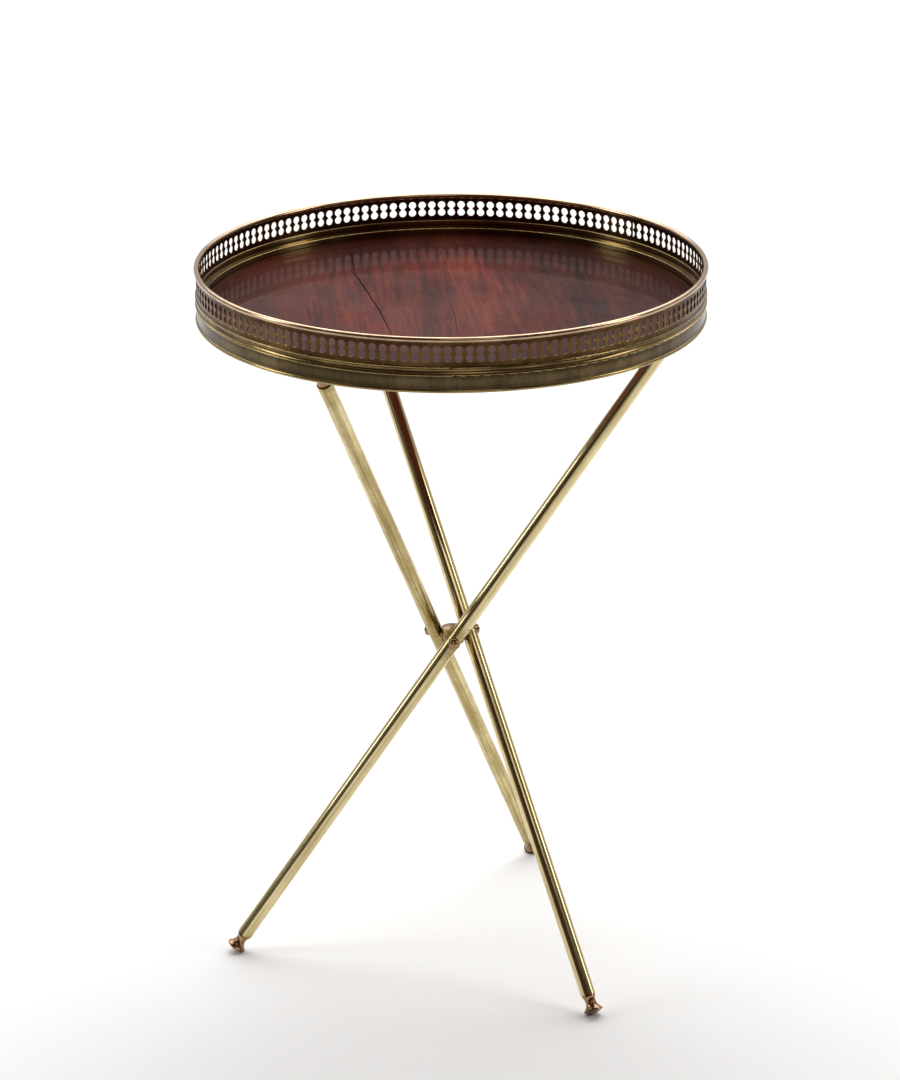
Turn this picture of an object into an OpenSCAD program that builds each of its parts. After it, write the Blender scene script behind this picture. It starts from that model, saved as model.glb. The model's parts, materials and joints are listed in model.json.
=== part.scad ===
// Folding tray table: a round galleried tray on a crossed tripod of brass tubes.
// Millimetres, +Z up. The origin is on the floor below the centre of the tray.
// The legs stand open; each one turns on a radial screw in the hub.

/* [Overall] */
// Height of the table from the floor to the top of the rim
table_h = 668.5; // [550:0.5:810]
// Diameter of the tray over its rim bead
tray_d = 460; // [380:5:560]
// Height of the three leg pivots above the floor
hub_h = 310; // [250:5:370]
// Turn of the first leg's pivot about the centre, from the +X side
stand_turn = -87.2; // [-180:0.1:180]

/* [Tray top] */
// Depth of the wooden top below the rim
well_depth = 38; // [36:0.5:50]
// Thickness of the wooden board
board_t = 9; // [6:0.5:14]
// Height of the step round the edge of the board
rebate_h = 4; // [2.5:0.5:5]
// Width of the step round the edge of the board
rebate_w = 4.6; // [3:0.1:6]

/* [Gallery] */
// Diameter of the bead along the rim
rim_bead_d = 4.8; // [3.6:0.1:6]
// Thickness of the pierced strip
strip_t = 1; // [0.6:0.1:1.4]
// Distance from the top of the rim down to the upper moulding bead
gallery_h = 26.6; // [24:0.2:29]
// Distance from the top of the rim down to the middle of the piercings
pierce_drop = 14.8; // [12:0.2:17]
// Diameter of the two round ends of a piercing
pierce_d = 7; // [4:0.1:7.4]
// Distance between the centres of a piercing's round ends
pierce_gap = 7.4; // [5:0.1:8]
// Width of the neck between a piercing's round ends
neck_w = 3; // [1:0.1:3.8]
// Spacing of the piercings along the strip
pierce_pitch = 9.28; // [8:0.02:14]
// Direction of the soldered seam, clockwise from the +Y side
seam_turn = 47.9; // [0:0.1:360]
// Metal left at the seam, beside the half piercing
seam_lap = 0.5; // [0.2:0.1:1]

/* [Mouldings and apron] */
// Height between the two beads of the moulding
moulding_h = 7; // [5:0.2:9]
// Thickness of the moulding's beads
bead_t = 1.9; // [1.4:0.1:2.4]
// Distance that the moulding's beads stand out past the strip
bead_proud = 1.2; // [0.8:0.1:1.6]
// Height of the flat above and below the moulding's cove
cove_land = 0.3; // [0.1:0.1:0.8]
// Thickness of the moulding's web between its beads
web_t = 1.2; // [0.8:0.1:1.4]
// Thickness of the moulding's inner skirt
skirt_t = 1.6; // [1:0.1:2.5]
// Thickness of the apron band
apron_t = 1.2; // [0.8:0.1:1.5]
// Distance that the apron stands out past the strip
apron_step = 0.1; // [0:0.05:0.3]
// Diameter of the bead along the bottom edge
base_bead_d = 3.6; // [3:0.1:5]
// Thickness of the ledge that carries the board
ledge_t = 2.4; // [2:0.1:4]
// Width of the ledge that carries the board
ledge_w = 7.4; // [6:0.1:8]

/* [Leg seats under the board] */
// Distance from the edge of the tray in to the centre of a leg seat
seat_inset = 23.9; // [22:0.1:40]
// Outer diameter of a leg seat
seat_d = 24; // [20:0.5:26]
// Thickness of brass above the hollow of a leg seat
seat_web = 2.5; // [2:0.1:4]
// Half angle of the round part of the hollow
seat_angle = 40; // [30:1:44]
// Diameter of the hollow at its mouth
seat_mouth_d = 19; // [16:0.5:20]
// Height of a leg seat's rim above the middle of its ball
seat_rim = 2.6; // [1:0.1:3.4]

/* [Legs] */
// Outer diameter of the leg tubes
tube_d = 14; // [12:0.1:18]
// Wall of the leg tubes
tube_wall = 1; // [0.7:0.1:1.6]
// Width of the joint line between an upper and a lower tube
joint_gap = 0.3; // [0.2:0.1:0.6]
// Length of the solid core that joins the two tubes
core_l = 70; // [50:1:100]
// Diameter of the pin that holds the core
pin_d = 2.5; // [1.5:0.1:3.5]
// Height of the core pin above the pivot
pin_rise = 18; // [12:0.5:26]
// Turn of the core pin from the pivot's direction
pin_turn = 45; // [20:1:90]
// Length of the plugs that hold the foot and the peg in the tubes
plug_l = 12; // [8:0.5:20]

/* [Feet] */
// Diameter of the flared foot
foot_d = 17.6; // [14:0.2:21]
// Length of the foot below its tube
foot_l = 15; // [14:0.1:19]
// Diameter of the foot's neck
foot_neck_d = 9.6; // [7:0.1:11]
// Distance from the tube's end down to the middle of the foot's neck
foot_neck_drop = 6.2; // [5:0.1:8]
// Thickness of the foot's rim
foot_rim_t = 1.2; // [0.8:0.1:2]
// Diameter of the foot's collar
collar_d = 12.4; // [11:0.1:13.6]
// Length of the foot's collar
collar_l = 2; // [1:0.1:3]

/* [Top pegs] */
// Diameter of the ball on top of each leg
ball_d = 12; // [10:0.1:13]
// Height of the tube's highest corner above the middle of its ball
tube_rise = 1.8; // [-2:0.1:2.2]
// Diameter of the peg's neck
peg_neck_d = 8; // [6:0.1:9]

/* [Hub] */
// Diameter of the hub body
hub_d = 18.8; // [16:0.2:26]
// Height of the hub body
hub_body_h = 10.4; // [9:0.2:16]
// Diameter of the hub's end caps
cap_d = 20.4; // [17:0.1:21]
// Thickness of a cap at its edge
cap_t = 1.8; // [1.2:0.1:3]
// Rise of a cap's dome above its edge
cap_rise = 1.3; // [0.6:0.1:3]
// Diameter of the stud that ties the caps
stud_d = 4; // [3:0.1:4.6]
// Room between the hub body and a leg tube
hub_room = 1.38; // [1.1:0.02:3]

/* [Pivots] */
// Diameter of a pivot screw's shank
pivot_d = 5; // [4:0.1:6]
// Diameter of a pivot screw's domed head
head_d = 8.4; // [7:0.1:10]
// Height of a pivot screw's domed head
head_h = 2.6; // [1.8:0.1:4]
// Height of the straight edge round the head
head_edge = 0.6; // [0.3:0.1:1.2]
// Width of the slot across the head
slot_w = 1.2; // [0.6:0.1:1.6]
// Depth of the slot below the crown of the head
slot_depth = 1.1; // [0.5:0.1:1.6]
// Turn of the slot from upright
slot_turn = 20; // [-90:5:90]
// Diameter of the saddle washer under the head
saddle_d = 11; // [9:0.1:11.6]
// Thickness of the saddle washer above the tube
saddle_t = 1.4; // [1:0.1:2.5]
// Diameter of the spacer washer on the hub
spacer_d = 9; // [7:0.1:11]
// Distance of the screw tips from the centre of the hub
tip_r = 3.2; // [2.9:0.1:4.5]

/* [Wood screws] */
// Diameter of the wood screws' shanks
wood_shank_d = 3; // [2:0.1:3.4]
// Diameter of the wood screws' countersunk heads
wood_head_d = 5.6; // [4.6:0.1:6]
// Depth that a seat's screw bites into the board
bite = 5; // [3:0.1:5.5]
// Wood left between the tip of a ledge screw and the step round the board
tip_cover = 1.2; // [0.5:0.1:1.8]
// Number of screws through the ledge
ledge_screws = 8; // [4:1:16]

/* [Clearances] */
// Gap between pieces that are pressed, soldered or screwed together
fit = 0.05; // [0.02:0.01:0.08]
// Running clearance round a pivot screw, on the radius
run = 0.05; // [0.02:0.01:0.09]
// Gap between surfaces that move past each other
air = 0.3; // [0.25:0.05:0.5]
// Gap between the edge of the board and the skirt
board_gap = 0.3; // [0.1:0.05:0.6]

/* [Hidden] */
$fn = 96;

// Colours of the finishes
polished_brass = "#d8c089";
aged_brass = "#5a4a2e";
moulding_brass = "#a08a60";
turned_brass = "#9c7350";
mahogany = "#6b2f22";
screw_steel = "#8d8a80";

// Margin by which tools run past the faces that they cut
past = 1;

// Angle from one leg to the next
third = 120;

// Facets round the large circle of a low dome
dome_fn = 400;

// Heights of the tray, from the rim down
board_top = table_h - well_depth;
board_bottom = board_top - board_t;
tray_bottom = board_bottom - ledge_t;
rim_z = table_h - rim_bead_d / 2;
upper_bead_z = table_h - gallery_h;
lower_bead_z = upper_bead_z - moulding_h;
pierce_z = table_h - pierce_drop;
rebate_z = board_top - rebate_h;
base_bead_z = tray_bottom + base_bead_d / 2;

// Radii of the tray, from the rim in
tray_r = tray_d / 2;
rim_r = tray_r - rim_bead_d / 2;
strip_out_r = rim_r + strip_t / 2;
strip_in_r = rim_r - strip_t / 2;
bead_out_r = strip_out_r + bead_proud;
bead_in_r = strip_in_r - bead_proud;
web_out_r = strip_out_r - strip_t;
web_in_r = web_out_r - web_t;
apron_out_r = strip_out_r + apron_step;
apron_in_r = apron_out_r - apron_t;
board_out_r = apron_in_r - board_gap;
board_in_r = board_out_r - rebate_w;
skirt_in_r = board_in_r + board_gap;
cove_r = moulding_h / 2 - cove_land;
base_bead_r = apron_out_r - apron_t / 2;
ledge_in_r = apron_in_r - ledge_w;

// The strip is bent into flats, one for each whole piercing, and half a flat at its seam
pierce_n = round(2 * PI * rim_r / pierce_pitch - 0.5);
facet = 360 / (pierce_n + 0.5);
facet_sag = strip_out_r * (1 - cos(facet / 2));
seam_dir = 90 - seam_turn;

// Seats, pegs and the tilt of the legs that follows from them
ball_r = ball_d / 2;
hollow_r = ball_r + air;
ball_z = board_bottom - seat_web - hollow_r;
seat_r = tray_r - seat_inset;
leg_offset = hub_d / 2 + hub_room + tube_d / 2;
reach = sqrt(seat_r * seat_r - leg_offset * leg_offset);
tilt = atan(reach / (ball_z - hub_h));
seat_turn = atan(reach / leg_offset);

// Lengths along a leg, from its pivot
bore_r = tube_d / 2 - tube_wall;
ball_s = (ball_z - hub_h) / cos(tilt);
peg_l = tube_d / 2 * tan(tilt) - tube_rise / cos(tilt);
upper_l = ball_s - peg_l;
sole_margin = 1.5;
sole_a = tilt + sole_margin;
sole_r = foot_d / 2 / sin(sole_a);
sole_s = (hub_h - sole_r) / cos(tilt);
lower_l = sole_s - foot_l + sole_r * cos(sole_a);
plug_r = bore_r - fit;

// Hub and pivots
saddle_out = tube_d / 2 + saddle_t;
screw_cone_h = (wood_head_d - wood_shank_d) / 2;
seat_screw_l = seat_web + bite;
ledge_screw_l = ledge_t + board_t - rebate_h - tip_cover;
hub_top = hub_h + hub_body_h / 2;
hub_bottom = hub_h - hub_body_h / 2;

// A ring with an outline drawn as radius and height
module ring() {
    rotate_extrude(convexity = 6) children();
}

// A rectangle from one radius and height to another
module span(r1, z1, r2, z2) {
    translate([r1, z1]) square([r2 - r1, z2 - z1]);
}

// A flat bar with round edges, between two radii at one height
module round_bar(r1, r2, z, t) {
    span(r1 + t / 2, z - t / 2, r2 - t / 2, z + t / 2);
    translate([r1 + t / 2, z]) circle(d = t);
    translate([r2 - t / 2, z]) circle(d = t);
}

// Puts a leg's own frame, pivot at its origin and tube along Z, into place
module leg_place(i) {
    translate([0, 0, hub_h])
        rotate([0, 0, stand_turn + third * i])
            translate([leg_offset, 0, 0])
                rotate([-tilt, 0, 0])
                    children();
}

// Puts a pivot's frame into place, with X along the screw from the hub's centre
module pivot_place(i) {
    translate([0, 0, hub_h])
        rotate([0, 0, stand_turn + third * i])
            children();
}

// Puts things at the leg seat of one leg, at the height of its ball
module seat_place(i) {
    rotate([0, 0, stand_turn + third * i + seat_turn])
        translate([seat_r, 0, ball_z])
            children();
}

// A rod along X from one distance to another
module rod_x(r, from, to) {
    translate([from, 0, 0])
        rotate([0, 90, 0])
            cylinder(r = r, h = to - from);
}

// A countersunk screw pointing up, its flat head's face at the origin
module wood_screw(length, room = 0) {
    cylinder(d1 = wood_head_d + 2 * room, d2 = wood_shank_d + 2 * room, h = screw_cone_h);
    cylinder(d = wood_shank_d + 2 * room, h = length + room);
}

// Places of the screws through the ledge
module at_ledge_screws() {
    for (i = [0 : ledge_screws - 1])
        rotate([0, 0, (i + 0.5) * 360 / ledge_screws])
            translate([(ledge_in_r + apron_in_r) / 2, 0, tray_bottom])
                children();
}

// Places of the screws through the seats
module at_seat_screws() {
    for (i = [0 : 2])
        seat_place(i)
            translate([0, 0, hollow_r + fit])
                children();
}

module tray_board() {
    color(mahogany)
    difference() {
        ring() {
            span(0, board_bottom, board_out_r, rebate_z);
            span(0, board_bottom, board_in_r, board_top);
        }
        at_ledge_screws() wood_screw(ledge_screw_l, fit);
        at_seat_screws() wood_screw(seat_screw_l, fit);
    }
}

// Outline of one piercing, standing upright
module piercing_outline() {
    translate([0, pierce_gap / 2]) circle(d = pierce_d);
    translate([0, -pierce_gap / 2]) circle(d = pierce_d);
    square([neck_w, pierce_gap], center = true);
}

// Cuts an outline through the strip in one direction from the centre
module pierce_through(direction) {
    rotate([0, 0, direction])
        translate([strip_in_r - past, 0, pierce_z])
            rotate([90, 0, 90])
                linear_extrude(strip_t + 2 * past)
                    children();
}

// The part of a piercing that is left at the end of the strip
module half_piercing_outline() {
    intersection() {
        piercing_outline();
        translate([-seam_lap - pierce_d, -pierce_gap - pierce_d])
            square([pierce_d, 2 * (pierce_gap + pierce_d)]);
    }
}

// Corners of the strip's flats at a radius, from the seam round to the seam
function flats(r) = [for (i = [0 : pierce_n])
    [r * cos(seam_dir + i * facet), r * sin(seam_dir + i * facet)]];

module gallery_strip() {
    color(aged_brass)
    difference() {
        translate([0, 0, upper_bead_z])
            linear_extrude(rim_z - upper_bead_z)
                difference() {
                    polygon(flats(strip_out_r));
                    polygon(flats(strip_in_r));
                }
        for (i = [0 : pierce_n - 1])
            pierce_through(seam_dir + (i + 0.5) * facet) piercing_outline();
        pierce_through(seam_dir) half_piercing_outline();
    }
}

// Slot for the pierced strip between two heights
module strip_slot(z1, z2) {
    span(strip_in_r - facet_sag - fit, z1, strip_out_r + fit, z2);
}

// Slot for the apron band between two heights
module apron_slot(z1, z2) {
    span(apron_in_r - fit, z1, apron_out_r + fit, z2);
}

module rim_bead() {
    color(moulding_brass)
    ring() difference() {
        translate([rim_r, rim_z]) circle(d = rim_bead_d);
        strip_slot(rim_z - rim_bead_d, rim_z + fit);
    }
}

module moulding_ring() {
    color(moulding_brass)
    ring() difference() {
        union() {
            round_bar(bead_in_r, bead_out_r, upper_bead_z, bead_t);
            round_bar(skirt_in_r, bead_out_r, lower_bead_z, bead_t);
            span(web_in_r, lower_bead_z, bead_out_r - bead_t / 2, upper_bead_z);
            span(skirt_in_r, rebate_z + fit, skirt_in_r + skirt_t, lower_bead_z);
        }
        translate([web_out_r + cove_r, (upper_bead_z + lower_bead_z) / 2]) circle(cove_r);
        strip_slot(upper_bead_z - fit, upper_bead_z + bead_t);
        apron_slot(lower_bead_z - bead_t, lower_bead_z);
    }
}

module apron_band() {
    color(aged_brass)
    ring() span(apron_in_r, base_bead_z, apron_out_r, lower_bead_z - fit);
}

module base_ring() {
    color(moulding_brass)
    difference() {
        ring() difference() {
            union() {
                translate([base_bead_r, base_bead_z]) circle(d = base_bead_d);
                span(ledge_in_r, tray_bottom, base_bead_r, board_bottom - fit);
            }
            apron_slot(base_bead_z - fit, base_bead_z + base_bead_d);
            span(ledge_in_r, board_bottom - fit, apron_in_r, base_bead_z + base_bead_d);
        }
        at_ledge_screws() wood_screw(ledge_screw_l, fit);
    }
}

// A seat drawn from the middle of its ball, its hollow round above and a cone below
module seat() {
    lip_r = hollow_r * sin(seat_angle);
    lip_z = hollow_r * cos(seat_angle);
    face_z = hollow_r + fit;
    difference() {
        ring() difference() {
            span(0, seat_rim, seat_d / 2, hollow_r + seat_web - fit);
            polygon([[0, 0], [seat_mouth_d / 2, 0], [seat_mouth_d / 2, seat_rim],
                [lip_r, lip_z], [0, lip_z]]);
            intersection() {
                circle(hollow_r);
                span(0, lip_z - past, lip_r, hollow_r);
            }
            span(0, lip_z - past, wood_head_d / 2 + fit, face_z);
        }
        translate([0, 0, face_z]) wood_screw(seat_screw_l, fit);
    }
}

module leg_seats() {
    color(moulding_brass)
    for (i = [0 : 2]) seat_place(i) seat();
}

module seat_screws() {
    color(screw_steel)
    at_seat_screws() wood_screw(seat_screw_l);
}

module ledge_screw_set() {
    color(screw_steel)
    at_ledge_screws() wood_screw(ledge_screw_l);
}

module hub_body() {
    color(turned_brass)
    difference() {
        translate([0, 0, hub_bottom]) cylinder(d = hub_d, h = hub_body_h);
        translate([0, 0, hub_bottom - past])
            cylinder(d = stud_d + 2 * fit, h = hub_body_h + 2 * past);
        for (i = [0 : 2])
            pivot_place(i)
                rod_x(pivot_d / 2 + fit, tip_r - fit, hub_d);
    }
}

// Outline of a low dome on a flat base at height 0, cut square at its edge
module dome_outline(d, edge, rise) {
    dome_r = (d * d / 4 + rise * rise) / (2 * rise);
    intersection() {
        span(0, 0, d / 2, edge + rise);
        translate([0, edge + rise - dome_r]) circle(dome_r, $fn = dome_fn);
    }
}

// A disc with a low dome, resting on the plane through its origin
module cap() {
    ring() difference() {
        dome_outline(cap_d, cap_t, cap_rise);
        span(-past, -past, stud_d / 2 + fit, cap_t);
    }
}

module hub_top_cap() {
    color(turned_brass)
    translate([0, 0, hub_top]) cap();
}

module hub_bottom_cap() {
    color(turned_brass)
    translate([0, 0, hub_bottom]) mirror([0, 0, 1]) cap();
}

module hub_stud() {
    color(screw_steel)
    translate([0, 0, hub_bottom - cap_t + fit])
        cylinder(d = stud_d, h = hub_body_h + 2 * cap_t - 2 * fit);
}

// A screw along X whose domed head stands clear of its washer
module pivot_screw() {
    head_x = leg_offset + saddle_out + air / 2;
    difference() {
        rotate([0, 90, 0])
            ring() {
                span(0, tip_r, pivot_d / 2, head_x);
                translate([0, head_x]) dome_outline(head_d, head_edge, head_h - head_edge);
            }
        rotate([slot_turn, 0, 0])
            translate([head_x + head_h - slot_depth, -slot_w / 2, -head_d])
                cube([slot_depth + past, slot_w, 2 * head_d]);
    }
}

module pivot_screws() {
    color(turned_brass)
    for (i = [0 : 2]) pivot_place(i) pivot_screw();
}

module spacer_washers() {
    color(turned_brass)
    for (i = [0 : 2])
        pivot_place(i)
            difference() {
                rod_x(spacer_d / 2, 0, leg_offset - tube_d / 2 - air);
                cylinder(d = hub_d + 2 * fit, h = hub_d, center = true);
                rod_x(pivot_d / 2 + fit, 0, hub_d);
            }
}

// Bore through a leg for its pivot screw
module pivot_bore() {
    rod_x(pivot_d / 2 + run, -tube_d, tube_d);
}

// Hole through a leg for the pin that holds its core
module pin_hole(room) {
    translate([0, 0, pin_rise])
        rotate([0, 0, pin_turn])
            rod_x(pin_d / 2 + room, -tube_d / 2 - room, tube_d / 2 + room);
}

// A length of leg tube between two distances from the pivot
module tube(from, to) {
    translate([0, 0, from])
        difference() {
            cylinder(d = tube_d, h = to - from);
            translate([0, 0, -past]) cylinder(r = bore_r, h = to - from + 2 * past);
        }
}

module upper_tube(i) {
    color(polished_brass)
    leg_place(i)
        difference() {
            tube(joint_gap / 2, upper_l);
            pivot_bore();
            pin_hole(fit);
        }
}

module lower_tube(i) {
    color(polished_brass)
    leg_place(i)
        difference() {
            tube(-lower_l, -joint_gap / 2);
            pivot_bore();
        }
}

module core(i) {
    color(turned_brass)
    leg_place(i)
        difference() {
            translate([0, 0, -core_l / 2]) cylinder(r = plug_r, h = core_l);
            pivot_bore();
            pin_hole(fit);
        }
}

module core_pin(i) {
    color(turned_brass)
    leg_place(i) pin_hole(0);
}

module saddle(i) {
    color(turned_brass)
    leg_place(i)
        difference() {
            rod_x(saddle_d / 2, 0, saddle_out);
            translate([0, 0, -tube_d]) cylinder(d = tube_d + 2 * fit, h = 2 * tube_d);
            pivot_bore();
        }
}

// Foot drawn down its own axis, from the end of the tube at height 0
module foot_shape() {
    drop = foot_l - foot_rim_t - foot_neck_drop;
    side = foot_d / 2 - foot_neck_d / 2;
    neck_r = (side * side + drop * drop) / (2 * side);
    translate([0, 0, fit]) cylinder(r = plug_r, h = plug_l - fit);
    ring() difference() {
        union() {
            span(0, -foot_neck_drop, collar_d / 2, -fit);
            span(0, -foot_l, foot_d / 2, -foot_neck_drop);
            span(0, -fit, plug_r, fit);
        }
        difference() {
            translate([foot_neck_d / 2 + neck_r, -foot_neck_drop]) circle(neck_r);
            span(0, -collar_l, foot_d, past);
        }
    }
    intersection() {
        translate([0, 0, sole_r * cos(sole_a) - foot_l]) sphere(sole_r);
        translate([0, 0, -foot_l - foot_d]) cylinder(d = foot_d, h = foot_d);
    }
}

module foot(i) {
    color(turned_brass)
    leg_place(i) translate([0, 0, -lower_l]) foot_shape();
}

// Peg drawn up its own axis, from the end of the tube at height 0
module peg_shape() {
    ring() difference() {
        union() {
            span(0, -plug_l, plug_r, fit);
            span(0, -fit, peg_neck_d / 2, peg_l);
            intersection() {
                translate([0, peg_l]) circle(ball_r);
                span(0, -ball_d, ball_d, ball_d + peg_l);
            }
        }
        span(plug_r, -ball_d, ball_d, fit);
    }
}

module top_peg(i) {
    color(turned_brass)
    leg_place(i) translate([0, 0, upper_l]) peg_shape();
}

tray_board();
gallery_strip();
rim_bead();
moulding_ring();
apron_band();
base_ring();
leg_seats();
seat_screws();
ledge_screw_set();
hub_body();
hub_top_cap();
hub_bottom_cap();
hub_stud();
pivot_screws();
spacer_washers();
upper_tube(0);  // leg_a_upper_tube
lower_tube(0);  // leg_a_lower_tube
core(0);  // leg_a_core
core_pin(0);  // leg_a_core_pin
saddle(0);  // leg_a_saddle
foot(0);  // leg_a_foot
top_peg(0);  // leg_a_top_peg
upper_tube(1);  // leg_b_upper_tube
lower_tube(1);  // leg_b_lower_tube
core(1);  // leg_b_core
core_pin(1);  // leg_b_core_pin
saddle(1);  // leg_b_saddle
foot(1);  // leg_b_foot
top_peg(1);  // leg_b_top_peg
upper_tube(2);  // leg_c_upper_tube
lower_tube(2);  // leg_c_lower_tube
core(2);  // leg_c_core
core_pin(2);  // leg_c_core_pin
saddle(2);  // leg_c_saddle
foot(2);  // leg_c_foot
top_peg(2);  // leg_c_top_peg
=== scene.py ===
"""Looks of the folding tray table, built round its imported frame.

Each sub-assembly of the table is a class that dresses its own pieces, and models the ones that need
more shape than the frame gives them. Sizes are in metres, in the frame's own axes.
"""

import json
import logging
import math
import random
from dataclasses import dataclass, field
from enum import Enum
from typing import Any, Callable, ClassVar, Iterator, Sequence

import bmesh
import bpy
from mathutils import Matrix, Vector


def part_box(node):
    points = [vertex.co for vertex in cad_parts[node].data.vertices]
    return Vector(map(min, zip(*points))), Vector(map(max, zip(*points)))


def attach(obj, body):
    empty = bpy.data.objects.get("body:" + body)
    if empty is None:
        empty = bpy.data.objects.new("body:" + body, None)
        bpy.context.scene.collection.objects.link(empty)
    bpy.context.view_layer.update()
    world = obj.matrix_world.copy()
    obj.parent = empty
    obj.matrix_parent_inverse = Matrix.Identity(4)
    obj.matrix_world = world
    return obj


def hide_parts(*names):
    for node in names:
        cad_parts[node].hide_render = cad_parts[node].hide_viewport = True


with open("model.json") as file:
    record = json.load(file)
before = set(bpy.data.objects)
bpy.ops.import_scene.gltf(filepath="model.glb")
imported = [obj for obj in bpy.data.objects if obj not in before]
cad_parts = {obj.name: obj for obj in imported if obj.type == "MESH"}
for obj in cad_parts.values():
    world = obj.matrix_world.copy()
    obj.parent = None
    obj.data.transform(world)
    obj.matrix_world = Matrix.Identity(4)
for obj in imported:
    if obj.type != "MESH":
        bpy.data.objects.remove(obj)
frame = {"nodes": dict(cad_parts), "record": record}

LOG = logging.getLogger("tray_table")
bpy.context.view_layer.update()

Colour = tuple[float, float, float]
Point = tuple[float, float, float]
MM = 0.001


# --- Shader building -------------------------------------------------------------------------------


class Wire:
    """A shader socket that takes part in sums, each of which adds its Math node."""

    def __init__(self, sheet: "NodeSheet", socket: bpy.types.NodeSocket) -> None:
        """Wraps a socket.

        Args:
            sheet: The material's nodes, where new nodes are added.
            socket: The output socket to wrap.
        """
        self.sheet = sheet
        self.socket = socket

    def _maths(self, operation: str, *values: Any) -> "Wire":
        """Adds one Math node and returns its result."""
        return self.sheet.add("ShaderNodeMath", {"operation": operation}, dict(enumerate(values)))

    def __add__(self, other: Any) -> "Wire":
        """Sum with a number or another wire."""
        return self._maths("ADD", self, other)

    def __radd__(self, other: Any) -> "Wire":
        """Sum with a number on the left."""
        return self._maths("ADD", other, self)

    def __sub__(self, other: Any) -> "Wire":
        """Difference from a number or another wire."""
        return self._maths("SUBTRACT", self, other)

    def __rsub__(self, other: Any) -> "Wire":
        """Difference with a number on the left."""
        return self._maths("SUBTRACT", other, self)

    def __mul__(self, other: Any) -> "Wire":
        """Product with a number or another wire."""
        return self._maths("MULTIPLY", self, other)

    def __rmul__(self, other: Any) -> "Wire":
        """Product with a number on the left."""
        return self._maths("MULTIPLY", other, self)

    def hypot(self, other: "Wire") -> "Wire":
        """Length of the diagonal between this and another wire."""
        return self._maths("POWER", self * self + other * other, 0.5)

    def size(self) -> "Wire":
        """This value without its sign."""
        return self._maths("ABSOLUTE", self)


@dataclass(frozen=True)
class Cloud:
    """A cloudy noise: its features to a metre, how fine its detail goes and how rough that detail is."""

    per_metre: float
    detail: float = 3.0
    rough: float = 0.5


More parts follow.
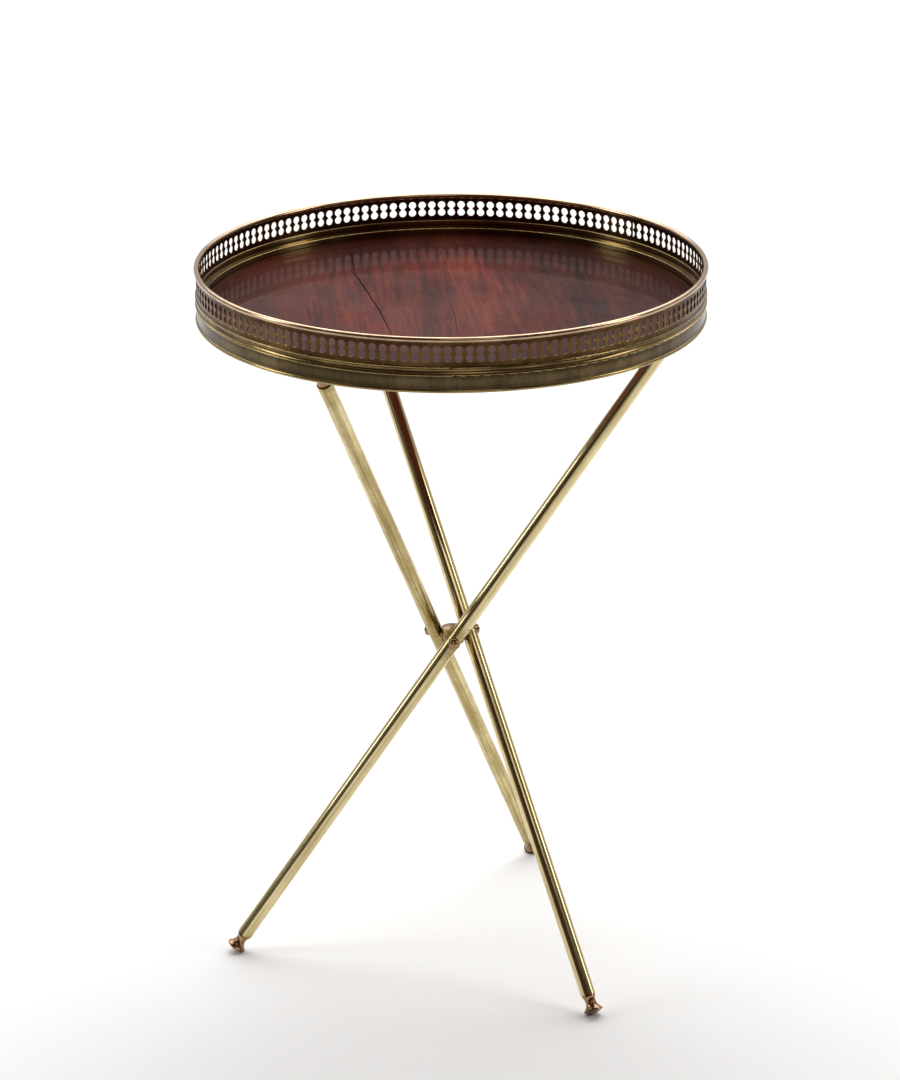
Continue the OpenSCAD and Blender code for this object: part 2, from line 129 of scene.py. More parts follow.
class NodeSheet:
    """The nodes of one material or of the room, with one method that adds any of them."""

    def __init__(self, owner: bpy.types.Material | bpy.types.World) -> None:
        """Empties the owner's nodes.

        Args:
            owner: The material or the world that the nodes belong to.
        """
        self.owner = owner
        self.owner.use_nodes = True
        self.tree = self.owner.node_tree
        self.tree.nodes.clear()

    def node(
        self,
        kind: str,
        settings: dict[str, Any] | None = None,
        inputs: dict[str | int, Any] | None = None,
    ) -> bpy.types.Node:
        """Adds one node. Every node of the sheet comes from here.

        Args:
            kind: The node's type.
            settings: Its own settings, set first; "stops" fills a colour ramp.
            inputs: A value or a wire for each socket, by name or number.

        Returns:
            The new node.
        """
        node = self.tree.nodes.new(kind)
        for key, value in (settings or {}).items():
            if key == "stops":
                self.fill_ramp(node.color_ramp, value)
            else:
                setattr(node, key, value)
        for key, value in (inputs or {}).items():
            socket = node.inputs[key]
            if isinstance(value, Wire):
                self.tree.links.new(value.socket, socket)
            else:
                socket.default_value = value
        return node

    def add(
        self,
        kind: str,
        settings: dict[str, Any] | None = None,
        inputs: dict[str | int, Any] | None = None,
        output: str | int = 0,
    ) -> Wire:
        """Adds one node and starts a wire from it.

        Args:
            kind: The node's type.
            settings: Its own settings, as for node.
            inputs: Its inputs, as for node.
            output: The socket that the wire starts from.

        Returns:
            A wire from the chosen output.
        """
        return Wire(self, self.node(kind, settings, inputs).outputs[output])

    @staticmethod
    def fill_ramp(ramp: bpy.types.ColorRamp, stops: Sequence[tuple[float, Colour]]) -> None:
        """Sets a colour ramp's stops.

        Args:
            ramp: The ramp of a new node.
            stops: The place and colour of each stop, from first to last.
        """
        while len(ramp.elements) < len(stops):
            ramp.elements.new(1.0)
        for element, (place, colour) in zip(ramp.elements, stops):
            element.position = place
            element.color = (*colour, 1.0)

    def mix(self, share: Any, first: Any, second: Any) -> Wire:
        """Blends two colours.

        Args:
            share: How much of the second colour shows, from 0 to 1.
            first: A colour or a wire.
            second: A colour or a wire.

        Returns:
            The blended colour.
        """
        return self.add(
            "ShaderNodeMix",
            {"data_type": "RGBA"},
            {"Factor": share, 6: solid(first), 7: solid(second)},
            2,
        )

    def ease(self, value: Any, low: float, high: float, to_low: float = 0.0, to_high: float = 1.0) -> Wire:
        """Runs a value smoothly from one pair of limits to another.

        Args:
            value: The value that changes over the piece.
            low: Where the change starts.
            high: Where it ends.
            to_low: The result at its start.
            to_high: The result at its end.

        Returns:
            The result, which stays at the nearer limit outside them.
        """
        return self.add(
            "ShaderNodeMapRange",
            {"interpolation_type": "SMOOTHSTEP"},
            {"Value": value, "From Min": low, "From Max": high, "To Min": to_low, "To Max": to_high},
        )

    def place(self) -> Wire:
        """The place on the piece, in the frame's own axes."""
        return self.add("ShaderNodeTexCoord", output="Object")

    def turned(self, where: Wire, location: Point, rotation: Point, scale: Point) -> Wire:
        """Sees a place from a frame of its own.

        Args:
            where: The place on the piece.
            location: Where the frame stands.
            rotation: How it is turned, in radians.
            scale: How far it is stretched along each axis.

        Returns:
            The place in that frame.
        """
        return self.add(
            "ShaderNodeMapping",
            {"vector_type": "TEXTURE"},
            {"Vector": where, "Location": location, "Rotation": rotation, "Scale": scale},
        )

    def axes(self, where: Wire) -> tuple[Wire, Wire, Wire]:
        """Takes a place apart.

        Args:
            where: The place on the piece.

        Returns:
            Its three coordinates.
        """
        first = self.add("ShaderNodeSeparateXYZ", inputs={0: where})
        outputs = first.socket.node.outputs
        return first, Wire(self, outputs[1]), Wire(self, outputs[2])

    def distance(self, where: Wire, place: Point) -> Wire:
        """How far a place is from a fixed point."""
        return self.add("ShaderNodeVectorMath", {"operation": "DISTANCE"}, {0: where, 1: place}, "Value")

    def noise(self, where: Wire, cloud: Cloud) -> Wire:
        """A cloudy noise over a place."""
        inputs = {"Vector": where, "Scale": cloud.per_metre, "Detail": cloud.detail, "Roughness": cloud.rough}
        return self.add("ShaderNodeTexNoise", inputs=inputs)

    def bump(self, height: Wire, depth: float, normal: Wire | None = None) -> Wire:
        """Raises a relief.

        Args:
            height: The height that changes over the piece.
            depth: How deep the relief is, in metres.
            normal: An earlier relief that this one lies on.

        Returns:
            The normal of the relief.
        """
        inputs: dict[str | int, Any] = {"Height": height, "Distance": depth, "Strength": 1.0}
        if normal is not None:
            inputs["Normal"] = normal
        return self.add("ShaderNodeBump", inputs=inputs)

    def finish(self, inputs: dict[str | int, Any]) -> bpy.types.Material:
        """Ends the material in one Principled shader.

        Args:
            inputs: A value or a wire for each of the shader's sockets.

        Returns:
            The finished material.
        """
        return self.close(self.add("ShaderNodeBsdfPrincipled", inputs=inputs), "ShaderNodeOutputMaterial")

    def close(self, surface: Wire, kind: str) -> Any:
        """Joins a surface to a new output node.

        Args:
            surface: The shader's wire.
            kind: The type of the output node.

        Returns:
            The material or the world that the nodes belong to.
        """
        self.node(kind, inputs={"Surface": surface})
        return self.owner


def solid(colour: Any) -> Any:
    """A colour with its alpha, or a wire as it is."""
    return colour if isinstance(colour, Wire) else (*colour, 1.0)


# --- Finishes --------------------------------------------------------------------------------------


@dataclass(frozen=True)
class Lay:
    """The frame that a finish's marks follow: its place, its turn and its stretch."""

    location: Point = (0.0, 0.0, 0.0)
    rotation: Point = (0.0, 0.0, 0.0)
    stretch: Point = (1.0, 1.0, 1.0)


@dataclass(frozen=True)
class TarnishAndShadeBand:
    """A level where the brass is darkened: dirt and tarnish in a cove or under a bead of the tray, and
    painted shade where a leg's tube runs up under the tray.
    """

    height: float
    reach: float
    amount: float


@dataclass(frozen=True)
class Stain:
    """A round place where tarnish gathers, as where two pieces meet."""

    place: Point
    reach: float
    amount: float


@dataclass(frozen=True)
class Brass:
    """Brass under its own tarnish, rubbed thin where hands reach."""

    SPECKLES: ClassVar[float] = 14.0  # speckles to one blotch
    SPECKLE_SHARE: ClassVar[float] = 0.1  # of the pattern of the tarnish
    SPECKLE_ROUGH: ClassVar[float] = 0.06  # what they add to the roughness
    PATCHES: ClassVar[tuple[float, float]] = (0.36, 0.64)  # from rubbed brass to full tarnish
    RUBBED: ClassVar[float] = 0.35  # the share of tarnish left on rubbed brass
    TARNISH_AND_SHADE_CLOUD: ClassVar[tuple[float, float]] = (0.6, 0.8)  # how even a darkened band is, and how patchy
    STAIN_EVEN: ClassVar[float] = 0.5
    STAIN_CORE: ClassVar[float] = 0.4  # the share of a stain's reach that is full
    WALL_BLUR: ClassVar[float] = 0.2 * MM
    WAVES: ClassVar[Cloud] = Cloud(34.0, 1.0, 0.4)  # long, shallow unevenness of sheet and tube

    name: str
    metal: Colour
    tarnish: Colour
    cover: float
    polish: float
    dull: float
    lay: Lay = Lay()
    blotches: float = 26.0
    streaks: float = 700.0
    streak_share: float = 0.2
    streak_depth: float = 0.004 * MM
    waves: float = 0.0
    tarnish_and_shade: tuple[TarnishAndShadeBand, ...] = ()
    stains: tuple[Stain, ...] = ()
    inside: Colour | None = None
    wall_radius: float = 0.0

    def material(self) -> bpy.types.Material:
        """Builds the shader.

        Returns:
            The finished material.
        """
        sheet = NodeSheet(bpy.data.materials.new(self.name))
        place = sheet.place()
        along = sheet.turned(place, self.lay.location, self.lay.rotation, self.lay.stretch)
        cloud = sheet.noise(place, Cloud(self.blotches, 5.0, 0.62))
        speckle = sheet.noise(place, Cloud(self.blotches * self.SPECKLES, 3.0, 0.6))
        streak = sheet.noise(along, Cloud(self.streaks, 3.0, 0.55))
        cloud_share = 1.0 - self.SPECKLE_SHARE - self.streak_share
        marks = cloud * cloud_share + streak * self.streak_share + speckle * self.SPECKLE_SHARE
        cover = sheet.ease(marks, *self.PATCHES, self.cover * self.RUBBED, self.cover)
        x, y, z = sheet.axes(place)
        even, patchy = self.TARNISH_AND_SHADE_CLOUD
        # Darkened bands: tarnish in the tray's hollows, and painted shade at the top of a leg's tubes under
        # the tray.
        for tarnish_and_shade in self.tarnish_and_shade:
            near = sheet.ease((z - tarnish_and_shade.height).size(), 0.0, tarnish_and_shade.reach, 1.0, 0.0)
            cover = cover + near * tarnish_and_shade.amount * (even + patchy * cloud)
        for stain in self.stains:
            away = sheet.distance(place, stain.place)
            near = sheet.ease(away, stain.reach * self.STAIN_CORE, stain.reach, 1.0, 0.0)
            cover = cover + near * stain.amount * (self.STAIN_EVEN + cloud)
        cover = sheet.ease(cover, 0.0, 1.0)
        clean: Any = self.metal
        if self.inside is not None:
            edges = (self.wall_radius - self.WALL_BLUR, self.wall_radius + self.WALL_BLUR)
            inner = sheet.ease(x.hypot(y), *edges, 1.0, 0.0)
            clean = sheet.mix(inner, self.metal, self.inside)
        colour = sheet.mix(cover, clean, self.tarnish)
        rough = self.polish + cover * (self.dull - self.polish) + (speckle - 0.5) * self.SPECKLE_ROUGH
        relief = sheet.bump(streak, self.streak_depth)
        if self.waves:
            relief = sheet.bump(sheet.noise(place, self.WAVES), self.waves, normal=relief)
        return sheet.finish(
            {"Base Color": colour, "Metallic": 1.0, "Roughness": rough, "Normal": relief}
        )


@dataclass(frozen=True)
class Mahogany:
    """Polished red mahogany, its grain running from front to back."""

    name: str = "mahogany_polished"
    dark: Colour = (0.014, 0.0020, 0.0013)
    middle: Colour = (0.088, 0.0100, 0.0044)
    light: Colour = (0.200, 0.0310, 0.0115)
    grain_turn: float = math.radians(4.6)
    stops: tuple[float, float, float] = (0.37, 0.485, 0.60)
    board_stretch: float = 5.0
    fibre_stretch: float = 16.0
    figure: Cloud = Cloud(15.0, 4.0, 0.55)
    growth: Cloud = Cloud(190.0, 4.0, 0.6)
    pores: Cloud = Cloud(1300.0, 2.0, 0.6)
    shares: tuple[float, float, float] = (0.52, 0.30, 0.18)
    handling: Cloud = Cloud(18.0, 4.0, 0.6)
    ripples: Cloud = Cloud(22.0, 2.0, 0.4)
    pore_depth: float = 0.006 * MM
    ripple_depth: float = 0.10 * MM
    # Painted shade: the board is darkened towards its rim, where the gallery wall shades it.
    wall_shade_radius: float = 0.120
    wall_shade_blur: float = 0.09
    wall_shade_wander: float = 0.05
    wall_shade_share: float = 0.75
    rough: float = 0.30
    handled_rough: float = 0.12
    coat: tuple[float, float] = (0.26, 0.12)
    coat_fade: tuple[float, float] = (-0.12, 0.16)
    coat_right: float = 0.62

    def material(self) -> bpy.types.Material:
        """Builds the shader.

        Returns:
            The finished material.
        """
        sheet = NodeSheet(bpy.data.materials.new(self.name))
        place = sheet.place()
        turn = (0.0, 0.0, self.grain_turn)
        board = sheet.turned(place, (0.0, 0.0, 0.0), turn, (1.0, self.board_stretch, 1.0))
        fibre = sheet.turned(place, (0.0, 0.0, 0.0), turn, (1.0, self.fibre_stretch, 1.0))
        figure = sheet.noise(board, self.figure)
        pore = sheet.noise(fibre, self.pores)
        layers = (figure, sheet.noise(fibre, self.growth), pore)
        first, second, third = (layer * share for layer, share in zip(layers, self.shares))
        stops = list(zip(self.stops, (self.dark, self.middle, self.light)))
        colour = sheet.add("ShaderNodeValToRGB", {"stops": stops}, {0: first + second + third})
        handled = sheet.noise(place, self.handling)
        x, y, _ = sheet.axes(place)
        # Painted shade: darker towards the board's rim, next to the gallery wall.
        radius = x.hypot(y) + figure * self.wall_shade_wander
        edge = sheet.ease(radius, self.wall_shade_radius, self.wall_shade_radius + self.wall_shade_blur)
        colour = sheet.mix(edge, colour, sheet.mix(self.wall_shade_share, colour, self.dark))
        rough = self.rough + sheet.ease(handled, 0.4, 0.7, 0.0, self.handled_rough)
        relief = sheet.bump(pore, self.pore_depth)
        relief = sheet.bump(sheet.noise(board, self.ripples), self.ripple_depth, normal=relief)
        fade = sheet.ease(x, *self.coat_fade, 1.0, self.coat_right)
        return sheet.finish(
            {
                "Base Color": colour,
                "Roughness": rough,
                "Specular IOR Level": 0.03,
                "Coat Weight": sheet.ease(handled, 0.3, 0.7, *self.coat) * fade,
                "Coat Roughness": 0.06,
                "Coat IOR": 1.42,
                "Normal": relief,
            }
        )


@dataclass(frozen=True)
class Steel:
    """Plain steel of the wood screws and the hub's stud."""

    name: str = "screw_steel"
    metal: Colour = (0.42, 0.41, 0.38)
    rust: Colour = (0.10, 0.055, 0.03)
    cloud: Cloud = Cloud(320.0, 4.0, 0.6)
    patches: tuple[float, float] = (0.42, 0.66)
    pit_depth: float = 0.02 * MM
    polish: float = 0.34
    rust_rough: float = 0.3

    def material(self) -> bpy.types.Material:
        """Builds the shader.

        Returns:
            The finished material.
        """
        sheet = NodeSheet(bpy.data.materials.new(self.name))
        cloud = sheet.noise(sheet.place(), self.cloud)
        cover = sheet.ease(cloud, *self.patches)
        colour = sheet.mix(cover, self.metal, self.rust)
        rough = self.polish + self.rust_rough * cover
        relief = sheet.bump(cloud, self.pit_depth)
        return sheet.finish(
            {"Base Color": colour, "Metallic": 1.0, "Roughness": rough, "Normal": relief}
        )


@dataclass(frozen=True)
class PaleFloor:
    """Matt pale floor of the studio."""

    name: str = "pale_floor"
    light: Colour = (0.96, 0.96, 0.96)
    shade: Colour = (0.94, 0.94, 0.94)
    cloud: Cloud = Cloud(1.3, 2.0, 0.5)
    rough: float = 0.85

    def material(self) -> bpy.types.Material:
        """Builds the shader.

        Returns:
            The finished material.
        """
        sheet = NodeSheet(bpy.data.materials.new(self.name))
        colour = sheet.mix(sheet.noise(sheet.place(), self.cloud), self.light, self.shade)
        return sheet.finish({"Base Color": colour, "Roughness": self.rough, "Specular IOR Level": 0.1})


# --- Modelling -------------------------------------------------------------------------------------


class Kind(Enum):
    """What a pick selects."""

    FACES = "FACE"
    EDGES = "EDGE"
    POINTS = "VERT"


class Workpiece:
    """A mesh on the bench, shaped with Blender's own edit tools."""

    def __init__(self, name: str, primitive: Callable[..., Any], **settings: Any) -> None:
        """Adds the primitive that the piece starts from.

        Args:
            name: The piece's name.
            primitive: The operator that adds the primitive.
            settings: The primitive's size and place.
        """
        bpy.ops.object.select_all(action="DESELECT")
        primitive(**settings)
        self.piece = bpy.context.object
        self.piece.name = name
        self.piece.data.name = name

    def mode(self, name: str) -> None:
        """Goes into edit mode or back out of it."""
        bpy.context.view_layer.objects.active = self.piece
        bpy.ops.object.mode_set(mode=name)

    def pick(self, kind: Kind, test: Callable[[Vector, Vector], bool]) -> None:
        """Selects the faces, edges or vertices that pass a test, and nothing else.

        Args:
            kind: The kind of element to select.
            test: Takes an element's middle and its normal.
        """
        bpy.ops.mesh.select_mode(type=kind.value)
        bpy.ops.mesh.select_all(action="DESELECT")
        shape = bmesh.from_edit_mesh(self.piece.data)
        shape.normal_update()
        for element, middle, normal in self._elements(shape, kind):
            if test(middle, normal):
                element.select_set(True)
        shape.select_flush_mode()
        bmesh.update_edit_mesh(self.piece.data)

    @staticmethod
    def _elements(shape: bmesh.types.BMesh, kind: Kind) -> Iterator[tuple[Any, Vector, Vector]]:
        """Goes through a mesh's elements.

        Args:
            shape: The mesh in edit mode.
            kind: The kind of element to go through.

        Yields:
            Each element with its middle and its normal.
        """
        if kind is Kind.FACES:
            for face in shape.faces:
                yield face, face.calc_center_median(), face.normal
        elif kind is Kind.EDGES:
            for edge in shape.edges:
                first, second = edge.verts
                yield edge, (first.co + second.co) / 2, (first.normal + second.normal) / 2
        else:
            for vert in shape.verts:
                yield vert, vert.co, vert.normal

    def choose(self) -> None:
        """Selects the piece, and nothing else."""
        bpy.ops.object.select_all(action="DESELECT")
        self.piece.select_set(True)
        bpy.context.view_layer.objects.active = self.piece

    def settle(self) -> None:
        """Puts the piece's place and turn into its mesh, so its object sits at the origin."""
        self.choose()
        bpy.ops.object.transform_apply(location=True, rotation=True, scale=True)

    def cut(self, tool: "Workpiece") -> None:
        """Takes a tool's shape out of the piece and puts the tool away.

        Args:
            tool: A closed piece that stands where the cut is wanted.
        """
        bpy.context.view_layer.objects.active = self.piece
        modifier = self.piece.modifiers.new("cut", "BOOLEAN")
        modifier.operation = "DIFFERENCE"
        modifier.solver = "EXACT"
        modifier.object = tool.piece
        bpy.ops.object.modifier_apply(modifier=modifier.name)
        bpy.data.objects.remove(tool.piece)

    def smooth(self, degrees: float) -> None:
        """Shades the piece smoothly up to an angle."""
        self.choose()
        bpy.ops.object.shade_smooth_by_angle(angle=math.radians(degrees))


def dress(node: str, material: bpy.types.Material) -> None:
    """Gives a frame node or a piece one material.

    Args:
        node: The name of the node or the piece.
        material: Its only material from now on.
    """
    piece = frame["nodes"][node] if node in frame["nodes"] else bpy.data.objects[node]
    piece.data.materials.clear()
    piece.data.materials.append(material)


# --- The wooden top --------------------------------------------------------------------------------


@dataclass
class Crack:
    """A drying crack in the board, drawn from back to front."""

    path: Sequence[tuple[float, float]]
    width: float
    depth: float = 2.2 * MM
    steps: int = 7
    wander: float = 0.5 * MM
    tip: float = 0.12
    swell: float = 0.6
    seed: int = 3

    def outline(self) -> list[Vector]:
        """Works out the crack's outline on the board.

        Returns:
            The points down its left side and back up its right side.
        """
        chance = random.Random(self.seed)
        line: list[Vector] = []
        for start, end in zip(self.path, self.path[1:]):
            for step in range(self.steps):
                point = Vector(start).lerp(Vector(end), step / self.steps)
                line.append(point + Vector((chance.uniform(-1, 1), 0.0)) * self.wander)
        line.append(Vector(self.path[-1]))
        last = len(line) - 1
        half = [
            self.width / 2 * (self.tip + math.sin(math.pi * i / last) ** self.swell)
            for i in range(last + 1)
        ]
        left = [point - Vector((h, 0.0)) for point, h in zip(line, half)]
        right = [point + Vector((h, 0.0)) for point, h in zip(line, half)]
        return left + right[::-1]

    def blade(self, top: float) -> Workpiece:
        """Models the blade that opens the crack.

        Args:
            top: Height of the board's top face.

        Returns:
            The blade, standing through the top face.
        """
        points = self.outline()
        start = (*points[0], top + self.depth)
        blade = Workpiece("crack_blade", bpy.ops.mesh.primitive_plane_add, size=MM, location=start)
        blade.mode("EDIT")
        blade.pick(Kind.POINTS, lambda middle, normal: True)
        bpy.ops.mesh.merge(type="CENTER")
        for here, there in zip(points, points[1:]):
            bpy.ops.mesh.extrude_region_move(TRANSFORM_OT_translate={"value": (*(there - here), 0.0)})
        bpy.ops.mesh.select_all(action="SELECT")
        bpy.ops.mesh.edge_face_add()
        bpy.ops.mesh.extrude_region_move(TRANSFORM_OT_translate={"value": (0.0, 0.0, -2 * self.depth)})
        bpy.ops.mesh.select_all(action="SELECT")
        bpy.ops.mesh.normals_make_consistent(inside=False)
        blade.mode("OBJECT")
        blade.settle()
        return blade


@dataclass
class WoodTop:
    """The turned board, with its stepped edge, softened corners and drying cracks."""

    name: str = "tray_top_wood"
    step_width: float = 4.6 * MM
    step_height: float = 4.0 * MM
    corner: float = 0.7 * MM
    land: float = 1.5 * MM
    sides: int = 256
    smooth_degrees: float = 35.0
    cracks: tuple[Crack, ...] = (
        Crack(
            (
                (-0.095, 0.166),
                (-0.092, 0.142),
                (-0.089, 0.092),
                (-0.077, 0.038),
                (-0.065, -0.021),
                (-0.054, -0.085),
                (-0.049, -0.118),
            ),
            1.05 * MM,
        ),
        Crack(((-0.010, 0.168), (-0.007, 0.140), (-0.004, 0.098), (0.004, 0.060)), 0.42 * MM, seed=5),
        Crack(((-0.001, 0.006), (0.003, -0.045), (0.006, -0.096)), 0.45 * MM, seed=8),
        Crack(((-0.130, -0.002), (-0.127, -0.030), (-0.123, -0.060)), 0.35 * MM, seed=11),
    )

    def build(self) -> bpy.types.Object:
        """Models the board in place of the frame's plain one.

        Returns:
            The finished piece.
        """
        low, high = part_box("tray_board")
        radius = (high[0] - low[0]) / 2
        bottom, top = low[2], high[2]
        step = top - self.step_height
        board = Workpiece(
            self.name,
            bpy.ops.mesh.primitive_cylinder_add,
            vertices=self.sides,
            radius=radius,
            depth=step - bottom,
            location=(0.0, 0.0, (step + bottom) / 2),
        )
        board.settle()
        board.mode("EDIT")
        board.pick(Kind.FACES, lambda middle, normal: normal.z > 0.9)
        bpy.ops.mesh.inset(thickness=self.step_width)
        bpy.ops.mesh.extrude_region_move(TRANSFORM_OT_translate={"value": (0.0, 0.0, self.step_height)})
        bpy.ops.mesh.inset(thickness=self.corner + self.land)
        level = top - 0.01 * MM
        inner = radius - self.step_width - 0.1 * MM
        board.pick(Kind.EDGES, lambda middle, normal: middle.z > level and middle.xy.length > inner)
        bpy.ops.mesh.bevel(offset=self.corner, segments=3, affect="EDGES")
        board.mode("OBJECT")
        for crack in self.cracks:
            board.cut(crack.blade(top))
        board.smooth(self.smooth_degrees)
        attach(board.piece, "tray")
        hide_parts("tray_board")
        return board.piece


# --- Sub-assemblies --------------------------------------------------------------------------------


@dataclass
class Tray:
    """The galleried tray with its wooden top."""

    top: WoodTop = field(default_factory=WoodTop)
    strip_radius: float = 227.6 * MM
    cove_height: float = 638.4 * MM
    skirt_height: float = 631.5 * MM
    under_rim: float = 661.5 * MM
    above_bead: float = 644.5 * MM
    apron_top: float = 633.0 * MM
    apron_foot: float = 624.0 * MM

    def build(self) -> list[str]:
        """Models and dresses the tray.

        Returns:
            The names of its pieces.
        """
        top = self.top.build()
        dress(top.name, Mahogany().material())
        dress("tray_board", top.data.materials[0])
        dress("gallery_strip", self.gallery().material())
        dress("apron_band", self.apron().material())
        mouldings = self.mouldings().material()
        for node in ("moulding_ring", "base_ring", "leg_seats"):
            dress(node, mouldings)
        dress("rim_bead", self.rim().material())
        steel = Steel().material()
        for node in ("seat_screws", "ledge_screw_set", "hub_stud"):
            dress(node, steel)
        return [top.name, "gallery_strip", "rim_bead", "moulding_ring", "apron_band", "base_ring"]

    def gallery(self) -> Brass:
        """Finish of the pierced strip: golden brown outside, darker inside.

        Returns:
            Brass for the strip.
        """
        return Brass(
            "brass_gallery",
            metal=(0.18, 0.105, 0.038),
            tarnish=(0.058, 0.028, 0.011),
            cover=0.62,
            polish=0.19,
            dull=0.34,
            lay=Lay(stretch=(1.0, 1.0, 9.0)),
            blotches=30.0,
            streaks=420.0,
            waves=0.05 * MM,
            tarnish_and_shade=(TarnishAndShadeBand(self.under_rim, 4.0 * MM, 0.35), TarnishAndShadeBand(self.above_bead, 4.0 * MM, 0.3)),
            inside=(0.13, 0.062, 0.018),
            wall_radius=self.strip_radius,
        )

    def apron(self) -> Brass:
        """Finish of the plain band: dull olive brown with faint upright marks.

        Returns:
            Brass for the band.
        """
        return Brass(
            "brass_apron",
            metal=(0.165, 0.119, 0.059),
            tarnish=(0.054, 0.038, 0.018),
            cover=0.75,
            polish=0.18,
            dull=0.29,
            lay=Lay(stretch=(1.0, 1.0, 12.0)),
            blotches=22.0,
            streaks=520.0,
            waves=0.04 * MM,
            tarnish_and_shade=(TarnishAndShadeBand(self.apron_top, 3.0 * MM, 0.3), TarnishAndShadeBand(self.apron_foot, 3.0 * MM, 0.25)),
        )

    def mouldings(self) -> Brass:
        """Finish of the beads, with a brown cove.

        Returns:
            Brass for the beads.
        """
        return Brass(
            "brass_mouldings",
            metal=(0.39, 0.285, 0.120),
            tarnish=(0.058, 0.029, 0.013),
            cover=0.42,
            polish=0.13,
            dull=0.29,
            lay=Lay(stretch=(9.0, 9.0, 1.0)),
            blotches=26.0,
            streaks=900.0,
            waves=0.04 * MM,
            tarnish_and_shade=(TarnishAndShadeBand(self.cove_height, 2.0 * MM, 0.5),),
        )

    def rim(self) -> Brass:
        """Finish of the rim bead, the piece that hands polish most.

        Returns:
            Brass for the rim bead.
        """
        return Brass(
            "brass_rim",
            metal=(0.62, 0.43, 0.28),
            tarnish=(0.12, 0.066, 0.034),
            cover=0.45,
            polish=0.10,
            dull=0.28,
            lay=Lay(stretch=(9.0, 9.0, 1.0)),
            blotches=30.0,
            streaks=900.0,
            waves=0.05 * MM,
        )


@dataclass
class Leg:
    """One leg: two polished tubes, their turned foot and peg, and the fittings at the pivot."""

    letter: str
    pivot: Vector
    turn: float
    tilt: float = math.radians(34.15)
    # Tarnish share of each leg's tubes. Leg c's full share is partly painted shade: it darkens the tubes that
    # face down at the shaded floor.
    tubes_tarnish_and_shade: ClassVar[dict[str, float]] = {"a": 0.62, "b": 0.62, "c": 1.0}
    foot_end: float = 13.0 * MM
    # The band darkened at the tubes' top end is painted shade, where they run up under the tray.
    top_end: float = 612.0 * MM

    def build(self) -> list[str]:
        """Dresses the leg.

        Returns:
            The names of its pieces.
        """
        body = f"leg_{self.letter}"
        lay = Lay(tuple(self.pivot), (-self.tilt, 0.0, self.turn), (1.0, 1.0, 40.0))
        tubes = Brass(
            f"brass_tube_{self.letter}",
            metal=(0.84, 0.72, 0.42),
            tarnish=(0.38, 0.29, 0.115),
            cover=self.tubes_tarnish_and_shade[self.letter],
            polish=0.07,
            dull=0.27,
            lay=lay,
            blotches=24.0,
            streaks=520.0,
            streak_share=0.55,
            waves=0.07 * MM,
            # The foot band is tarnish; the top band is painted shade under the tray.
            tarnish_and_shade=(TarnishAndShadeBand(self.foot_end, 7.0 * MM, 0.7), TarnishAndShadeBand(self.top_end, 12.0 * MM, 0.5)),
            stains=(Stain(tuple(self.pivot), 26.0 * MM, 0.35),),
        ).material()
        turned = Brass(
            f"brass_turned_{self.letter}",
            metal=(0.48, 0.30, 0.16),
            tarnish=(0.10, 0.047, 0.022),
            cover=0.7,
            polish=0.12,
            dull=0.32,
            lay=Lay(lay.location, lay.rotation, (12.0, 12.0, 1.0)),
            blotches=90.0,
            streaks=1400.0,
        ).material()
        for part in ("upper_tube", "lower_tube"):
            dress(f"{body}_{part}", tubes)
        for part in ("core", "core_pin", "saddle", "foot", "top_peg"):
            dress(f"{body}_{part}", turned)
        return sorted(frame["record"]["behaviour"]["bodies"][body])


@dataclass
class Hub:
    """The turned hub with its caps, its pivot screws and their washers."""

    def build(self) -> list[str]:
        """Dresses the hub.

        Returns:
            The names of its pieces.
        """
        nodes = ["hub_body", "hub_top_cap", "hub_bottom_cap", "pivot_screws", "spacer_washers"]
        finish = Brass(
            "brass_hub",
            metal=(0.46, 0.33, 0.14),
            tarnish=(0.11, 0.060, 0.024),
            cover=0.8,
            polish=0.16,
            dull=0.38,
            lay=Lay(stretch=(8.0, 8.0, 1.0)),
            blotches=110.0,
            streaks=1200.0,
        ).material()
        for node in nodes:
            dress(node, finish)
        return nodes


# --- Studio ----------------------------------------------------------------------------------------


@dataclass
class Softbox:
    """One soft studio light, aimed at a point of the table."""

    name: str
    place: Point
    width: float
    height: float
    power: float
    colour: Colour = (1.0, 1.0, 1.0)
    aim: Point = (0.0, 0.0, 0.4)

    def build(self) -> None:
        """Hangs the light."""
        bpy.ops.object.light_add(type="AREA", location=self.place)
        lamp = bpy.context.object
        lamp.name = self.name
        lamp.data.shape = "RECTANGLE"
        lamp.data.size = self.width
        lamp.data.size_y = self.height
        lamp.data.energy = self.power
        lamp.data.color = self.colour
        way = Vector(self.aim) - Vector(self.place)
        lamp.rotation_euler = way.to_track_quat("-Z", "Y").to_euler()


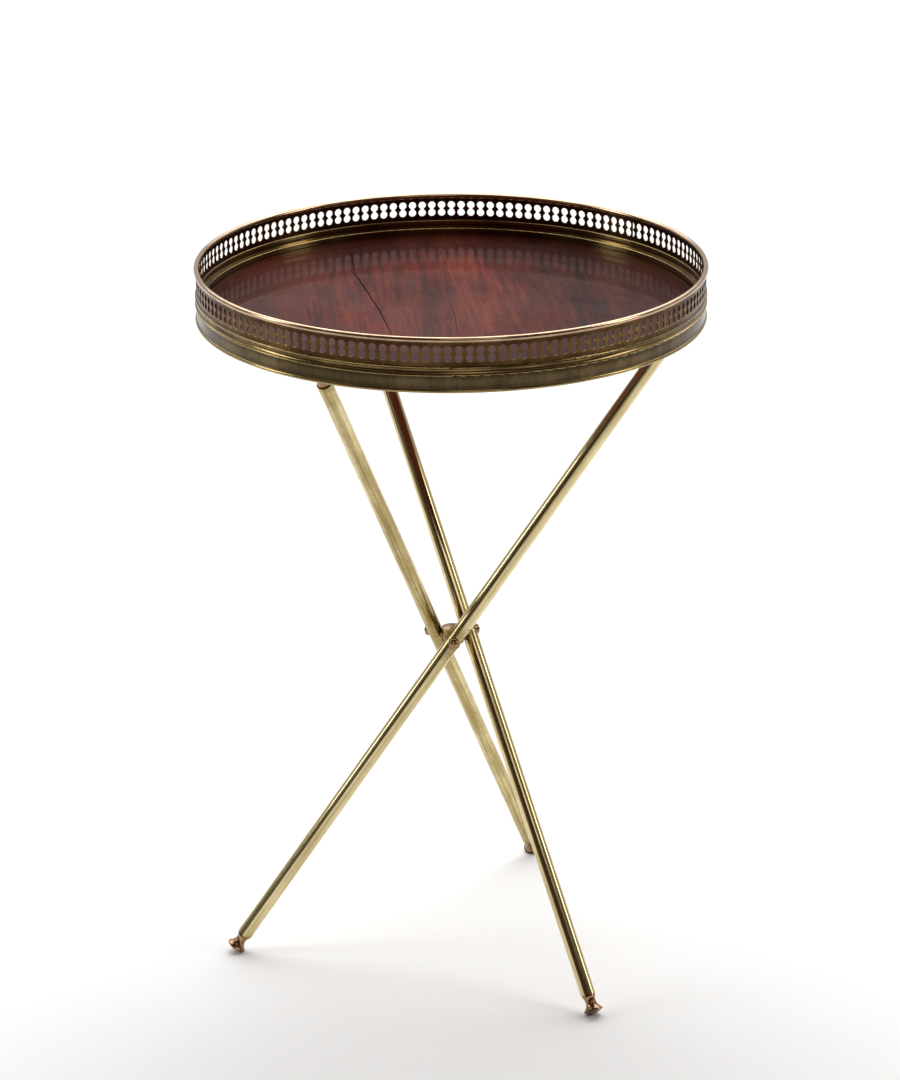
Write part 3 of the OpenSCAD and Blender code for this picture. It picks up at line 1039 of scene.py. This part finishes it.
@dataclass
class Studio:
    """The pale floor, the soft lights round the table and the camera."""

    floor_size: float = 60.0
    camera_place: Point = (0.0015, -3.41361, 1.66875)
    camera_down: float = math.radians(20.3505)
    camera_pan: float = -0.00104
    camera_roll: float = -0.00487
    lens: float = 132.38
    sensor: float = 36.0
    farthest: float = 200.0
    room_light: float = 0.62
    room: tuple[tuple[float, Colour], ...] = (
        (0.00, (0.080, 0.045, 0.025)),
        (0.18, (0.080, 0.045, 0.025)),
        (0.24, (0.55, 0.53, 0.50)),
        (0.30, (0.100, 0.060, 0.035)),
        (0.48, (0.110, 0.070, 0.045)),
        (0.60, (0.50, 0.49, 0.47)),
        (0.76, (0.95, 0.95, 0.95)),
        (1.00, (1.0, 1.0, 1.0)),
    )
    lights: tuple[Softbox, ...] = (
        Softbox("left_softbox", (-2.5, -0.15, 1.60), 0.62, 1.6, 15.0, (0.96, 0.98, 1.0)),
        Softbox("front_softbox", (0.5, -2.5, 2.5), 1.3, 0.9, 4.2, (1.0, 0.97, 0.93)),
        Softbox("right_softbox", (2.6, -0.4, 1.9), 0.7, 1.9, 17.0, (1.0, 0.98, 0.95)),
        Softbox("top_softbox", (0.0, 1.0, 3.0), 3.2, 2.2, 52.0),
        Softbox("far_softbox", (0.0, 7.0, 6.0), 12.0, 9.0, 640.0, aim=(0.0, 7.0, 0.0)),
    )

    def build(self) -> None:
        """Sets up the floor, the lights, the surroundings and the camera."""
        self.floor()
        self.surroundings()
        for light in self.lights:
            light.build()
        self.camera()

    def floor(self) -> None:
        """Lays the floor."""
        floor = Workpiece("studio_floor", bpy.ops.mesh.primitive_plane_add, size=self.floor_size)
        dress(floor.piece.name, PaleFloor().material())

    def surroundings(self) -> None:
        """Lights the room: pale behind the table, dim behind the camera."""
        sheet = NodeSheet(bpy.data.worlds.new("studio_room"))
        depth = sheet.axes(sheet.add("ShaderNodeTexCoord", output="Generated"))[1]
        colour = sheet.add("ShaderNodeValToRGB", {"stops": self.room}, {0: (depth + 1.0) * 0.5})
        room = sheet.add("ShaderNodeBackground", inputs={"Color": colour, "Strength": self.room_light})
        bpy.context.scene.world = sheet.close(room, "ShaderNodeOutputWorld")

    def camera(self) -> None:
        """Places the camera."""
        bpy.ops.object.camera_add()
        camera = bpy.context.object
        turn = Matrix.Rotation(-self.camera_pan, 4, "Z")
        nod = Matrix.Rotation(math.pi / 2 - self.camera_down, 4, "X")
        lean = Matrix.Rotation(self.camera_roll, 4, "Z")
        camera.matrix_world = Matrix.Translation(self.camera_place) @ turn @ nod @ lean
        camera.data.lens = self.lens
        camera.data.sensor_width = self.sensor
        camera.data.sensor_fit = "AUTO"
        camera.data.clip_end = self.farthest
        scene = bpy.context.scene
        scene.camera = camera
        scene.view_settings.view_transform = "Standard"


def legs() -> list[Leg]:
    """Finds the three legs from the frame's own joints.

    Returns:
        One leg for each folding joint.
    """
    found: list[Leg] = []
    for joint in frame["record"]["behaviour"]["joints"]:
        if joint["name"].endswith("_fold"):
            axis = joint["axis"]
            turn = math.atan2(axis[1], axis[0])
            found.append(Leg(joint["child"][-1], Vector(joint["pos_m"]), turn))
    return found


def main() -> None:
    """Builds the table's looks and its studio."""
    logging.basicConfig(level=logging.INFO, format="%(name)s: %(message)s")
    Studio().build()
    for assembly in (Tray(), Hub(), *legs()):
        for piece in assembly.build():
            LOG.info("%s: %s", type(assembly).__name__, piece)


if __name__ == "__main__":
    main()
